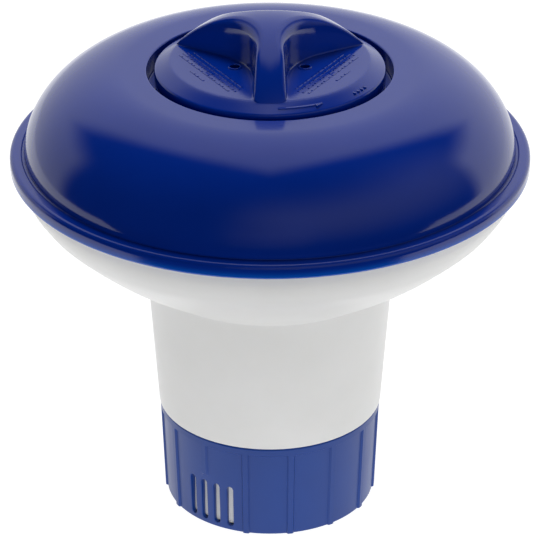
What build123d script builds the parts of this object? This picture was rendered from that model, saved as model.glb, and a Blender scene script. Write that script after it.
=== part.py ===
from build123d import *

import os
from math import acos, cos, degrees, radians, sin

# Floating chlorine dispenser: a hollow ring float around a tablet tube, a bayonet cap with a
# three-armed grip, and a collar that turns on the tube's foot to open its dosing slots.
# Millimetres, +Z up, origin at the centre of the collar's base, front towards -Y.
# Azimuths are counted from the front towards +X.

# ---- driving dimensions ----
FLANGE_R = 65.0            # widest radius of the float
FLANGE_TOP_Z = 98.0
JOINT_Z = 94.4             # plane where the blue top meets the white bowl
CROWN_R = 36.5             # the dome is level from its hole out to this radius
CROWN_Z = 119.1
DOME_FOOT_R = 61.4
DOME_FOOT_Z = 97.9
DOME_EXPONENT = 1.075      # superellipse, slightly flatter than an ellipse
SHELL_T = 2.2              # wall of the moulded shells
HOLE_R = 30.5              # hole in the dome that takes the cap
HOLE_ROUND = 0.4
WELL_WALL_R = 33.0         # outside of the wall between the hole and the ledge

LEDGE_R = 26.2             # bore of the ledge that the cap locks under
LEDGE_TOP_Z = 114.0
LEDGE_BOTTOM_Z = 111.5
SOCKET_R = 32.1            # socket that holds the top of the tube
SOCKET_Z = 104.0
SPIGOT_R = 59.6            # ring that centres the top inside the bowl's rim
SPIGOT_Z = 89.6

BOWL_RIM_R = 62.8
NECK_R = 31.85             # lip of the bowl's neck round the tube
NECK_LIP_Z = 63.3
SEAT_Z = 69.0              # the tube's flange sits here
SEAT_R = 37.6

TUBE_NECK_R = 31.3
TUBE_FOOT_R = 28.8         # outer radius just above the collar
TUBE_SHOULDER_Z = 26.4
TUBE_FLANGE_R = 35.8
TUBE_TOP_R = 32.0
TUBE_WALL = 2.0
SLEEVE_R = 25.95           # tube's foot, on which the collar turns
HOPPER_FOOT_R = 23.95
TUBE_BOTTOM_Z = 1.4

COLLAR_BORE_R = 26.0
COLLAR_BASE_R = 27.6       # over the ribs, at the floor
COLLAR_TOP_R = 28.5
COLLAR_TOP_Z = 26.1
COLLAR_BAND = 2.0          # plain band above the ribbed panels
COLLAR_FLOOR_T = 1.1
RIB_COUNT = 15
RIB_PROUD = 0.5
RIB_WIDTH_DEG = 3.4
FIRST_RIB = -13.0
SHORT_RIBS = (-37.0, 155.0)  # these stop above the slots
SHORT_RIB_Z = 15.2

SLOT_WIDTH = 1.7
SLOT_HEIGHT = 12.0
SLOT_PITCH_DEG = 8.0
SLOTS_PER_GROUP = 4
SLOT_GROUP_AZIMUTH = -34.0
SLOT_GROUP_STEP = 192.0    # eight rib pitches, so both groups sit alike among the ribs
COLLAR_TURN_DEG = 36.0     # from all slots shut to all slots open

CAP_RIM_R = 28.6
CAP_RIM_BOTTOM_Z = 115.6
CAP_RIM_TOP_Z = 119.4
CAP_FLOOR_Z = 121.5
CAP_FLOOR_R = 24.8
CAP_FLOOR_T = 2.2
CAP_SKIRT_R = 25.8
CAP_SKIRT_Z = 108.6
GRIP_SPHERE_R = 33.5
GRIP_TOP_Z = 132.9
ARM_COUNT = 3
ARM_HALF_WIDTH = 3.9       # at the pocket floor; the walls lean back from there
POCKET_DRAFT = 3.5
POCKET_ROUND = 18.0
VENT_R = 1.2
VENT_AT = 9.9
LUG_COUNT = 3
LUG_R = 28.2
LUG_WIDTH_DEG = 16.0
NOTCH_GAP_DEG = 2.0
NOTCH_R = 28.8
FIRST_LUG = 60.0

os.makedirs("parts", exist_ok=True)


def radial_plane(azimuth, radius, height):
    """Plane at a radius and height that faces straight out at an azimuth."""
    a = radians(azimuth)
    return Plane(
        origin=(radius * sin(a), -radius * cos(a), height),
        x_dir=(cos(a), sin(a), 0),
        z_dir=(sin(a), -cos(a), 0),
    )


def section_plane(azimuth):
    """Vertical plane through the axis with local X pointing out at an azimuth."""
    a = radians(azimuth)
    return Plane(origin=(0, 0, 0), x_dir=(sin(a), -cos(a), 0), z_dir=(-cos(a), -sin(a), 0))


def dome_point(angle, inset=0.0):
    """Point (r, z) of the dome's outer skin, or of one inset by a wall's thickness."""
    r = CROWN_R + (DOME_FOOT_R - CROWN_R - inset) * cos(radians(angle)) ** DOME_EXPONENT
    foot_z = DOME_FOOT_Z - inset
    rise = CROWN_Z - DOME_FOOT_Z
    return (r, foot_z + rise * sin(radians(angle)) ** DOME_EXPONENT)


def dome_curve(first_angle, inset=0.0, steps=8):
    """Points of a dome skin from the crown down to an angle above the foot."""
    angles = [90 - (90 - first_angle) * i / steps for i in range(steps + 1)]
    return [(CROWN_R, CROWN_Z - inset)] + [dome_point(a, inset) for a in angles[1:]]


def slot_azimuths(first_group):
    """Azimuths of both groups of slots, given the middle of the first group."""
    half = (SLOTS_PER_GROUP - 1) / 2
    groups = (first_group, first_group + SLOT_GROUP_STEP)
    return [g + (i - half) * SLOT_PITCH_DEG for g in groups for i in range(SLOTS_PER_GROUP)]


def finish(piece, name):
    """Label one finished piece and write it."""
    piece.part.label = name
    export_step(piece.part, f"parts/{name}.step")


# ---- float_top: blue dome, flange, cap well and tube socket ----
GROOVE_STEP = 0.4
SPIGOT_INNER_R = SPIGOT_R - SHELL_T + 0.4
inner_span = DOME_FOOT_R - CROWN_R - SHELL_T
spigot_angle = degrees(acos(((SPIGOT_INNER_R - CROWN_R) / inner_span) ** (1 / DOME_EXPONENT)))
SEAL_GROOVE_R = (30.2, 31.6)
SEAL_GROOVE_DEPTH = 1.2

with BuildPart() as float_top:
    with BuildSketch(Plane.XZ):
        with BuildLine():
            outer = dome_curve(0)
            inner = dome_curve(spigot_angle, SHELL_T)
            JernArc((HOLE_R, CROWN_Z - HOLE_ROUND), (0, 1), HOLE_ROUND, -90)
            Line((HOLE_R + HOLE_ROUND, CROWN_Z), outer[0])
            Spline(*outer, tangents=[(1, 0), (0, -1)])
            Polyline(
                outer[-1],
                (DOME_FOOT_R, FLANGE_TOP_Z - GROOVE_STEP),
                (DOME_FOOT_R + GROOVE_STEP, FLANGE_TOP_Z - GROOVE_STEP),
                (DOME_FOOT_R + 2 * GROOVE_STEP, FLANGE_TOP_Z),
                (FLANGE_R - 1.3, FLANGE_TOP_Z),
            )
            JernArc((FLANGE_R - 1.3, FLANGE_TOP_Z), (1, 0), 1.3, -90)
            Line((FLANGE_R, FLANGE_TOP_Z - 1.3), (FLANGE_R, JOINT_Z + 0.6))
            JernArc((FLANGE_R, JOINT_Z + 0.6), (0, -1), 0.6, -90)
            Polyline(
                (FLANGE_R - 0.6, JOINT_Z),
                (SPIGOT_R, JOINT_Z),
                (SPIGOT_R, SPIGOT_Z),
                (SPIGOT_INNER_R, SPIGOT_Z),
                inner[-1],
            )
            Spline(*reversed(inner))
            Polyline(
                inner[0],
                (WELL_WALL_R, CROWN_Z - SHELL_T),
                (WELL_WALL_R, LEDGE_TOP_Z),
                (SOCKET_R + TUBE_WALL, LEDGE_TOP_Z),
                (SOCKET_R + TUBE_WALL, SOCKET_Z),
                (SOCKET_R, SOCKET_Z),
                (SOCKET_R, LEDGE_BOTTOM_Z),
                (SEAL_GROOVE_R[1], LEDGE_BOTTOM_Z),
                (SEAL_GROOVE_R[1], LEDGE_BOTTOM_Z + SEAL_GROOVE_DEPTH),
                (SEAL_GROOVE_R[0], LEDGE_BOTTOM_Z + SEAL_GROOVE_DEPTH),
                (SEAL_GROOVE_R[0], LEDGE_BOTTOM_Z),
                (LEDGE_R, LEDGE_BOTTOM_Z),
                (LEDGE_R, LEDGE_TOP_Z),
                (HOLE_R, LEDGE_TOP_Z),
                (HOLE_R, CROWN_Z - HOLE_ROUND),
            )
        make_face()
    revolve(axis=Axis.Z)
    # bayonet notches in the ledge
    notch_width = LUG_WIDTH_DEG + 2 * NOTCH_GAP_DEG
    for i in range(LUG_COUNT):
        start = FIRST_LUG + i * 360 / LUG_COUNT - notch_width / 2
        with BuildSketch(section_plane(start)):
            with Locations(((LEDGE_R + NOTCH_R - 1) / 2, (LEDGE_TOP_Z + LEDGE_BOTTOM_Z) / 2)):
                Rectangle(NOTCH_R - LEDGE_R + 1, LEDGE_TOP_Z - LEDGE_BOTTOM_Z + 1)
        revolve(axis=Axis.Z, revolution_arc=notch_width, mode=Mode.SUBTRACT)
finish(float_top, "float_top")


# ---- float_bowl: white lower shell with its neck and seal grooves ----
RIM_GROOVE_R = (60.6, 62.0)
RIM_GROOVE_Z = 93.1
NECK_GROOVE_R = (32.75, 34.45)
NECK_GROOVE_Z = 67.5
NECK_BORE_R = TUBE_NECK_R + 0.06
BOWL_BORE_R = SPIGOT_R + 0.1
BOWL_OUTSIDE = [(BOWL_RIM_R, JOINT_Z), (62.0, 90.3), (59.7, 86.2), (56.0, 81.8), (45.7, 73.0)]
BOWL_INSIDE = [(54.4, 83.4), (44.5, 74.9), (SEAT_R, 70.2)]

with BuildPart() as float_bowl:
    with BuildSketch(Plane.XZ):
        with BuildLine():
            Spline(*BOWL_OUTSIDE, (NECK_R, NECK_LIP_Z + 0.5), tangents=[(0, -1), (-0.87, -0.5)])
            Polyline(
                (NECK_R, NECK_LIP_Z + 0.5),
                (NECK_R, NECK_LIP_Z),
                (NECK_BORE_R, NECK_LIP_Z),
                (NECK_BORE_R, SEAT_Z),
                (NECK_GROOVE_R[0], SEAT_Z),
                (NECK_GROOVE_R[0], NECK_GROOVE_Z),
                (NECK_GROOVE_R[1], NECK_GROOVE_Z),
                (NECK_GROOVE_R[1], SEAT_Z),
                (SEAT_R, SEAT_Z),
                BOWL_INSIDE[2],
                BOWL_INSIDE[1],
                BOWL_INSIDE[0],
                (BOWL_BORE_R, SPIGOT_Z - 0.6),
                (BOWL_BORE_R, JOINT_Z),
                (RIM_GROOVE_R[0], JOINT_Z),
                (RIM_GROOVE_R[0], RIM_GROOVE_Z),
                (RIM_GROOVE_R[1], RIM_GROOVE_Z),
                (RIM_GROOVE_R[1], JOINT_Z),
                (BOWL_RIM_R, JOINT_Z),
            )
        make_face()
    revolve(axis=Axis.Z)
finish(float_bowl, "float_bowl")


# ---- tablet_tube: white hopper from under the cap down into the collar ----
FLANGE_T = 2.0
SNAP_Z = (22.1, 24.4)      # groove that the collar's bead snaps into
SNAP_DEPTH = 0.55
GRATE_R = 24.4
GRATE_Z = (2.0, 3.3)
STOP_WIDTH_DEG = 3.0
STOP_GAP_DEG = 0.6
STOP_R = 26.8
STOP_Z = (17.0, 21.0)
STOP_TRACK_START = 100.0
stop_azimuth = STOP_TRACK_START + COLLAR_TURN_DEG + STOP_GAP_DEG + STOP_WIDTH_DEG / 2

with BuildPart() as tablet_tube:
    with BuildSketch(Plane.XZ):
        with BuildLine():
            Polyline(
                (HOPPER_FOOT_R, TUBE_BOTTOM_Z),
                (SLEEVE_R, TUBE_BOTTOM_Z),
                (SLEEVE_R, SNAP_Z[0]),
                (SLEEVE_R - SNAP_DEPTH, SNAP_Z[0] + 0.2),
                (SLEEVE_R - SNAP_DEPTH, SNAP_Z[1] - 0.2),
                (SLEEVE_R, SNAP_Z[1]),
                (SLEEVE_R, TUBE_SHOULDER_Z),
                (TUBE_FOOT_R - 0.2, TUBE_SHOULDER_Z),
                (TUBE_FOOT_R, TUBE_SHOULDER_Z + 0.2),
                (TUBE_NECK_R, NECK_LIP_Z),
                (TUBE_NECK_R, SEAT_Z),
                (TUBE_FLANGE_R, SEAT_Z),
                (TUBE_FLANGE_R, SEAT_Z + FLANGE_T),
                (TUBE_NECK_R, SEAT_Z + FLANGE_T),
                (TUBE_TOP_R, SOCKET_Z),
                (TUBE_TOP_R, LEDGE_BOTTOM_Z),
                (TUBE_TOP_R - TUBE_WALL, LEDGE_BOTTOM_Z),
                (TUBE_NECK_R - TUBE_WALL, SEAT_Z),
                (TUBE_FOOT_R - TUBE_WALL, TUBE_SHOULDER_Z + 4),
                (HOPPER_FOOT_R, TUBE_SHOULDER_Z),
                (HOPPER_FOOT_R, GRATE_Z[1] + 0.1),
                (GRATE_R + 0.05, GRATE_Z[1] + 0.1),
                (GRATE_R + 0.05, GRATE_Z[0] - 0.1),
                (HOPPER_FOOT_R, GRATE_Z[0] - 0.1),
                close=True,
            )
        make_face()
    revolve(axis=Axis.Z)
    # dosing windows, which the collar covers at rest
    for azimuth in slot_azimuths(SLOT_GROUP_AZIMUTH + COLLAR_TURN_DEG):
        with BuildSketch(radial_plane(azimuth, HOPPER_FOOT_R - 2, 8.6)):
            SlotOverall(9.6, SLOT_WIDTH, rotation=90)
        extrude(amount=5, mode=Mode.SUBTRACT)
    # rib that stops the collar at both ends of its turn
    with BuildSketch(section_plane(stop_azimuth - STOP_WIDTH_DEG / 2)):
        with Locations(((SLEEVE_R + STOP_R - 0.5) / 2, (STOP_Z[0] + STOP_Z[1]) / 2)):
            Rectangle(STOP_R - SLEEVE_R + 0.5, STOP_Z[1] - STOP_Z[0])
    revolve(axis=Axis.Z, revolution_arc=STOP_WIDTH_DEG)
finish(tablet_tube, "tablet_tube")


# ---- tablet_grate: strainer that keeps the tablets off the collar's floor ----
GRATE_SPOKES = 12
with BuildPart() as tablet_grate:
    with BuildSketch(Plane.XY.offset(GRATE_Z[0])):
        Circle(GRATE_R)
        with PolarLocations(14.2, GRATE_SPOKES):
            SlotOverall(13.0, 2.4, mode=Mode.SUBTRACT)
        with PolarLocations(4.4, GRATE_SPOKES // 2):
            Circle(1.2, mode=Mode.SUBTRACT)
    extrude(amount=GRATE_Z[1] - GRATE_Z[0])
finish(tablet_grate, "tablet_grate")


# ---- flow_collar: blue ribbed cup that turns on the tube's foot ----
panel_top_z = COLLAR_TOP_Z - COLLAR_BAND
rib_slope = (COLLAR_TOP_R - COLLAR_BASE_R) / panel_top_z


def panel_section(top_z):
    """Corners of the wedge outside a panel, from below the base up to a level."""
    return [
        (COLLAR_BASE_R - RIB_PROUD - rib_slope, -1),
        (COLLAR_BASE_R - RIB_PROUD + rib_slope * top_z, top_z),
        (COLLAR_TOP_R + 2, top_z + 0.8),
        (COLLAR_TOP_R + 2, -1),
    ]


with BuildPart() as flow_collar:
    with BuildSketch(Plane.XZ):
        with BuildLine():
            Polyline(
                (0, 0),
                (COLLAR_BASE_R, 0),
                (COLLAR_TOP_R, panel_top_z),
                (COLLAR_TOP_R, COLLAR_TOP_Z - 0.4),
                (COLLAR_TOP_R - 0.4, COLLAR_TOP_Z),
                (COLLAR_BORE_R, COLLAR_TOP_Z),
                (COLLAR_BORE_R, SNAP_Z[1] - 0.4),
                (SLEEVE_R - SNAP_DEPTH + 0.1, SNAP_Z[1] - 0.6),
                (SLEEVE_R - SNAP_DEPTH + 0.1, SNAP_Z[0] + 0.6),
                (COLLAR_BORE_R, SNAP_Z[0] + 0.4),
                (COLLAR_BORE_R, COLLAR_FLOOR_T),
                (0, COLLAR_FLOOR_T),
                close=True,
            )
        make_face()
    revolve(axis=Axis.Z)
    # panels, sunk between the ribs
    rib_pitch = 360 / RIB_COUNT
    for i in range(RIB_COUNT):
        with BuildSketch(section_plane(FIRST_RIB + RIB_WIDTH_DEG / 2 + i * rib_pitch)):
            with BuildLine():
                Polyline(*panel_section(panel_top_z), close=True)
            make_face()
        revolve(axis=Axis.Z, revolution_arc=rib_pitch - RIB_WIDTH_DEG, mode=Mode.SUBTRACT)
    # the ribs over the slots are cut short
    for azimuth in SHORT_RIBS:
        with BuildSketch(section_plane(azimuth - RIB_WIDTH_DEG)):
            with BuildLine():
                Polyline(*panel_section(SHORT_RIB_Z), close=True)
            make_face()
        revolve(axis=Axis.Z, revolution_arc=2 * RIB_WIDTH_DEG, mode=Mode.SUBTRACT)
    # dosing slots
    slot_middle_z = COLLAR_FLOOR_T + 0.2 + SLOT_HEIGHT / 2
    for azimuth in slot_azimuths(SLOT_GROUP_AZIMUTH):
        with BuildSketch(radial_plane(azimuth, COLLAR_BORE_R - 0.5, slot_middle_z)):
            SlotOverall(SLOT_HEIGHT, SLOT_WIDTH, rotation=90)
        extrude(amount=5, mode=Mode.SUBTRACT)
    # track for the tube's stop rib
    track_width = COLLAR_TURN_DEG + STOP_WIDTH_DEG + 2 * STOP_GAP_DEG
    with BuildSketch(section_plane(STOP_TRACK_START)):
        with Locations(((COLLAR_BORE_R + STOP_R - 0.3) / 2, (STOP_Z[0] + STOP_Z[1]) / 2)):
            Rectangle(STOP_R - COLLAR_BORE_R + 0.9, STOP_Z[1] - STOP_Z[0] + 0.8)
    revolve(axis=Axis.Z, revolution_arc=track_width, mode=Mode.SUBTRACT)
    # drain holes in the floor
    with Locations((0, 0, COLLAR_FLOOR_T)):
        Hole(1.5)
    with Locations((0, 0, COLLAR_FLOOR_T)):
        with PolarLocations(12.0, 6):
            Hole(1.25)
finish(flow_collar, "flow_collar")


# ---- cap: blue bayonet lid with a three-armed grip ----
sphere_z = GRIP_TOP_Z - GRIP_SPHERE_R
inner_sphere_r = GRIP_SPHERE_R - CAP_FLOOR_T
ceiling_z = CAP_FLOOR_Z - CAP_FLOOR_T


def ball_section(radius, bottom_z):
    """Foot, middle and top of a ball's half section above a level, and its foot on the axis."""
    half_angle = acos((bottom_z - sphere_z) / radius) / 2
    foot = (radius * sin(2 * half_angle), bottom_z)
    middle = (radius * sin(half_angle), sphere_z + radius * cos(half_angle))
    return foot, middle, (0, sphere_z + radius), (0, bottom_z)


with BuildPart() as grip_hollow:
    with BuildSketch(Plane.XZ):
        with BuildLine():
            foot, middle, top, axis_foot = ball_section(inner_sphere_r, ceiling_z - 1)
            ThreePointArc(foot, middle, top)
            Polyline(top, axis_foot, foot)
        make_face()
    revolve(axis=Axis.Z)
    with BuildSketch(Plane.XY.offset(ceiling_z - 1)):
        Circle(4.6)
        for i in range(ARM_COUNT):
            a = radians(i * 360 / ARM_COUNT)
            with Locations((9.5 * sin(a), -9.5 * cos(a))):
                Rectangle(3.4, 19.0, rotation=i * 360 / ARM_COUNT)
    extrude(amount=20, mode=Mode.INTERSECT)

# the arms reach out over the edge of the cap's floor, so they start below it
GRIP_ROOT = 1.0
with BuildPart() as grip:
    with BuildSketch(Plane.XZ):
        with BuildLine():
            foot, middle, top, axis_foot = ball_section(GRIP_SPHERE_R, CAP_FLOOR_Z - GRIP_ROOT)
            ThreePointArc(foot, middle, top)
            Polyline(top, axis_foot, foot)
        make_face()
    revolve(axis=Axis.Z)
    # finger pockets between the arms
    for i in range(ARM_COUNT):
        bisector = i * 360 / ARM_COUNT + 180 / ARM_COUNT
        apex = ARM_HALF_WIDTH / sin(radians(60))
        pocket_plane = Plane.XY.offset(CAP_FLOOR_Z - GRIP_ROOT).rotated((0, 0, bisector - 90))
        with BuildSketch(pocket_plane):
            with BuildLine():
                Polyline((apex, 0), (apex + 20, 35), (apex + 20, -35), close=True)
            make_face()
            corner = vertices().sort_by(Axis.X)[0]
            fillet(corner, POCKET_ROUND)
        extrude(amount=14, taper=-POCKET_DRAFT, mode=Mode.SUBTRACT)

with BuildPart() as cap:
    with BuildSketch(Plane.XZ):
        with BuildLine():
            Polyline(
                (0, CAP_FLOOR_Z),
                (CAP_FLOOR_R, CAP_FLOOR_Z),
                (CAP_RIM_R - 0.5, CAP_RIM_TOP_Z + 0.2),
                (CAP_RIM_R, CAP_RIM_TOP_Z - 0.4),
                (CAP_RIM_R, CAP_RIM_BOTTOM_Z),
                (CAP_SKIRT_R, CAP_RIM_BOTTOM_Z),
                (CAP_SKIRT_R, CAP_SKIRT_Z),
                (CAP_SKIRT_R - 1.8, CAP_SKIRT_Z),
                (CAP_SKIRT_R - 1.8, ceiling_z),
                (0, ceiling_z),
                close=True,
            )
        make_face()
    revolve(axis=Axis.Z)
    add(grip.part)
    # vents in the pocket floors
    for i in range(ARM_COUNT):
        a = radians(i * 360 / ARM_COUNT + 180 / ARM_COUNT)
        with Locations((VENT_AT * sin(a), -VENT_AT * cos(a), CAP_FLOOR_Z)):
            Hole(VENT_R)
    add(grip_hollow.part, mode=Mode.SUBTRACT)
    # bayonet lugs
    for i in range(LUG_COUNT):
        start = FIRST_LUG + i * 360 / LUG_COUNT - LUG_WIDTH_DEG / 2
        with BuildSketch(section_plane(start)):
            with Locations(((CAP_SKIRT_R + LUG_R - 0.8) / 2, CAP_SKIRT_Z + 1.4)):
                Rectangle(LUG_R - CAP_SKIRT_R + 0.8, 2.4)
        revolve(axis=Axis.Z, revolution_arc=LUG_WIDTH_DEG)
finish(cap, "cap")


# ---- seals ----
with BuildPart() as cap_seal:
    with BuildSketch(Plane.XY.offset(LEDGE_TOP_Z)):
        Circle(CAP_RIM_R - 0.2)
        Circle(CAP_SKIRT_R + 0.6, mode=Mode.SUBTRACT)
    extrude(amount=CAP_RIM_BOTTOM_Z - LEDGE_TOP_Z)
finish(cap_seal, "cap_seal")


def ring_seal(groove_r, seat_z, name, side):
    """O-ring that fills a groove's width, on the given side (+1 above) of the seated face."""
    section_r = (groove_r[1] - groove_r[0]) / 2
    with BuildPart() as seal:
        with BuildSketch(Plane.XZ):
            with Locations(((groove_r[0] + groove_r[1]) / 2, seat_z + side * section_r)):
                Circle(section_r)
        revolve(axis=Axis.Z)
    finish(seal, name)


ring_seal((30.3, 31.5), LEDGE_BOTTOM_Z, "tube_seal", 1)
ring_seal((60.65, 61.95), JOINT_Z, "rim_seal", -1)
ring_seal((32.85, 34.35), SEAT_Z, "neck_seal", -1)
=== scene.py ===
import math

import bmesh
import bpy
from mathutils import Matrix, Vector


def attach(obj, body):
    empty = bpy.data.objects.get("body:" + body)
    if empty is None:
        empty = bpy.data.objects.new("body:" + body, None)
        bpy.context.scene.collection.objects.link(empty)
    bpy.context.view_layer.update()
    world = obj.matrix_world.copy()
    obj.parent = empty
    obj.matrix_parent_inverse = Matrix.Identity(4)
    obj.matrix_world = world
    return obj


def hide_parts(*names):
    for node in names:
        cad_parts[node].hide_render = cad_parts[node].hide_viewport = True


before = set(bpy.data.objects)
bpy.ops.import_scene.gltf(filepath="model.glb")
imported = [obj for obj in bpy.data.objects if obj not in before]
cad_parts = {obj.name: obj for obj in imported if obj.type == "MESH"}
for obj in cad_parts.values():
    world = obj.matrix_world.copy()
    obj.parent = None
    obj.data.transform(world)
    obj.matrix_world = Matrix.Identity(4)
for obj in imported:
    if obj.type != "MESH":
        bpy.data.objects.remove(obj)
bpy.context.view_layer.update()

# Looks of a floating chlorine dispenser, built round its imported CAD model.
# The outlines below are in millimetres, as in the CAD, and become metres when a mesh is made.
# Azimuths are degrees counted from the front (-Y) towards +X.

MM = 0.001
SHARP_DEG = 32              # edges that turn by more than this stay sharp
# How much of a straight side an arc may use: next to another arc, and next to a bare corner.
SHARED_REACH, FULL_REACH = 0.48, 0.97

# ---- float ----
FLANGE_R, FLANGE_TOP_Z, JOINT_Z = 65.0, 98.0, 94.4
CROWN_R, CROWN_Z = 36.5, 119.1
DOME_FOOT_R, DOME_FOOT_Z, DOME_EXPONENT = 61.4, 97.9, 1.075
SHELL_T = 2.2
HOLE_R, HOLE_ROUND, WELL_WALL_R = 30.5, 0.4, 33.0
LEDGE_R, LEDGE_TOP_Z, LEDGE_BOTTOM_Z = 26.2, 114.0, 111.5
SOCKET_R, SOCKET_Z, TUBE_WALL = 32.1, 104.0, 2.0
SPIGOT_R, SPIGOT_Z = 59.6, 89.6
BOWL_RIM_R, NECK_R, NECK_LIP_Z, SEAT_Z, SEAT_R = 62.8, 31.85, 63.3, 69.0, 37.6
NECK_BORE_R, BOWL_BORE_R = 31.36, 59.7
LIP_TOP_Z, LIP_BRIGHT_Z = 96.6, 94.7        # the brighter blue painted on the flange's lip, in place of the bowl's light, fades in between these

# ---- tube and collar ----
TUBE_NECK_R, TUBE_FOOT_R, TUBE_TOP_R = 31.3, 28.8, 32.0
TUBE_SHOULDER_Z, TUBE_BOTTOM_Z = 26.4, 1.4
TUBE_FLANGE_R, TUBE_FLANGE_T = 35.8, 2.0
SLEEVE_R, HOPPER_FOOT_R = 25.95, 23.95
COLLAR_BORE_R, COLLAR_BASE_R, COLLAR_TOP_R = 26.0, 27.6, 28.5
COLLAR_TOP_Z, COLLAR_BAND, COLLAR_FLOOR_T = 26.1, 2.0, 1.1
COLLAR_FOOT_Z = 0.4                         # the wall's plain grid starts here, above the rounded foot
DRAIN_R, DRAIN_AT, MIDDLE_DRAIN_R = 1.25, 12.0, 1.5
RIB_COUNT, RIB_PROUD, FIRST_RIB, RIB_HALF_DEG, RIB_EDGE_DEG = 15, 0.5, -13.0, 1.7, 0.35
SHORT_RIBS, SHORT_RIB_Z = (-37.0, 155.0), 15.2
SLOT_HALF_WIDTH, SLOT_HALF_HEIGHT, SLOT_MIDDLE_Z = 0.85, 6.0, 7.3
SLOT_MARGIN = 0.6                           # from a slot's end to the edge of its block of faces
WINDOW_HALF_HEIGHT, WINDOW_MIDDLE_Z = 4.8, 8.6
SLOT_PITCH_DEG, SLOTS_PER_GROUP, SLOT_GROUP_STEP = 8.0, 4, 192.0
SLOT_GROUP_AZIMUTH, COLLAR_TURN_DEG = -34.0, 36.0

# ---- cap ----
CAP_RIM_R, CAP_RIM_BOTTOM_Z, CAP_RIM_TOP_Z = 28.6, 115.6, 119.4
CAP_FLOOR_Z, CAP_FLOOR_R, CAP_FLOOR_T = 121.5, 24.8, 2.2
CAP_SKIRT_R, CAP_SKIRT_Z, CAP_SKIRT_T = 25.8, 108.6, 1.8
GRIP_SPHERE_R, GRIP_TOP_Z = 33.5, 132.9
ARM_HALF_WIDTH, POCKET_DRAFT, POCKET_ROUND, ARM_END_R = 3.9, 3.5, 18.0, 25.5
VENT_R, VENT_AT = 1.2, 9.9
VENT_RIM_R, VENT_RIM_HEIGHT = 1.75, 0.3
LUG_R, LUG_WIDTH_DEG, FIRST_LUG = 28.2, 16.0, 60.0
NOTCH_R, NOTCH_WIDTH_DEG = 28.8, 20.0
EDGE_ROUND, HUB_EDGE_ROUND = 0.95, 2.4      # top edge of the grip, at its arms' ends and its middle
FOOT_ROUND, ARM_CORNER_R = 0.5, 1.4
HOLLOW_HALF_WIDTH, HOLLOW_END_R = 1.9, 20.5  # arms of the hollow inside the grip
RIM_CLEARANCE = 0.02                        # keeps the rim just clear of the seal's top face
MARK_HEIGHT, MARK_HALF_WIDTH, MARK_GAP = 0.14, 0.3, 0.45
# rows of marks on each pocket's floor: distance from the axis, half length
MARK_ROWS = ((14.3, 12.5), (15.6, 13.5), (16.9, 13.5), (18.2, 13.0), (20.5, 3.2))
ARROW_AZIMUTH, ARROW_DEG = 14, 20           # middle and length of the arrow's shaft on the band
TICK_AZIMUTHS = (49, 52, 55, 58)

# ---- studio, in metres ----
# The floor is short in front, where the flange would otherwise mirror it.
FLOOR_EDGES = (-0.6, 0.6, -0.15, 0.9)       # left, right, front, rear
FLOOR_GAP = 0.0002                          # keeps the floor just under the part
CAMERA_PLACE, CAMERA_DOWN_DEG, CAMERA_LENS = (0.0, -0.6888, 0.4279), 27.94, 203.4


# ================= meshes =================


def polar(r, azimuth, z):
    """Point at a radius, azimuth and height, in millimetres."""
    a = math.radians(azimuth)
    return Vector((r * math.sin(a), -r * math.cos(a), z))


def make_piece(name, points, faces, material, body, node=None):
    """Mesh object from millimetre points, smooth but for its sharp edges, riding on a body."""
    mesh = bpy.data.meshes.new(name)
    mesh.from_pydata([Vector(p) * MM for p in points], [], faces)
    work = bmesh.new()
    work.from_mesh(mesh)
    bmesh.ops.remove_doubles(work, verts=work.verts, dist=0.002 * MM)
    bmesh.ops.dissolve_degenerate(work, edges=work.edges, dist=0.001 * MM)
    bmesh.ops.recalc_face_normals(work, faces=work.faces)
    work.to_mesh(mesh)
    work.free()
    mesh.shade_smooth()
    mesh.set_sharp_from_angle(angle=math.radians(SHARP_DEG))
    mesh.materials.append(material)
    piece = bpy.data.objects.new(name, mesh)
    bpy.context.scene.collection.objects.link(piece)
    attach(piece, body)
    if node:
        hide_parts(node)
    return piece


def rounded(corners, guard=0.15, step_deg=15):
    """Outline through (r, z, radius) corners with each corner turned into an arc.

    Next to an arc, a point on the straight holds the straight flat in smooth shading.
    """
    outline = []
    count = len(corners)
    for i, (r, z, radius) in enumerate(corners):
        here = Vector((r, z))
        before = corners[i - 1]
        after = corners[(i + 1) % count]
        back = Vector(before[:2]) - here
        ahead = Vector(after[:2]) - here
        room = min(
            back.length * (SHARED_REACH if before[2] else FULL_REACH),
            ahead.length * (SHARED_REACH if after[2] else FULL_REACH),
        )
        turn = math.pi - back.angle(ahead) if back.length and ahead.length else 0
        if radius <= 0 or turn < 0.02:
            outline.append(tuple(here))
            continue
        reach = min(radius * math.tan(turn / 2), room)
        radius = reach / math.tan(turn / 2)
        start = here + back.normalized() * reach
        end = here + ahead.normalized() * reach
        middle = here + (back.normalized() + ahead.normalized()).normalized() * (
            radius / math.cos(turn / 2)
        )
        if back.length > 2 * reach + guard:
            outline.append(tuple(here + back.normalized() * (reach + guard)))
        steps = max(2, math.ceil(math.degrees(turn) / step_deg))
        first = start - middle
        last = end - middle
        for k in range(steps + 1):
            t = k / steps
            spoke = (first * math.sin((1 - t) * turn) + last * math.sin(t * turn)) / math.sin(turn)
            outline.append(tuple(middle + spoke))
        if ahead.length > 2 * reach + guard:
            outline.append(tuple(here + ahead.normalized() * (reach + guard)))
    return outline


def lathe(outline, segments=256):
    """Points and faces of a closed (r, z) outline turned about the axis."""
    points = []
    for k in range(segments):
        points += [polar(r, 360 * k / segments, z) for r, z in outline]
    faces = []
    n = len(outline)
    for k in range(segments):
        a = k * n
        b = (k + 1) % segments * n
        for i in range(n):
            j = (i + 1) % n
            faces.append((a + i, a + j, b + j, b + i))
    return points, faces


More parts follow.
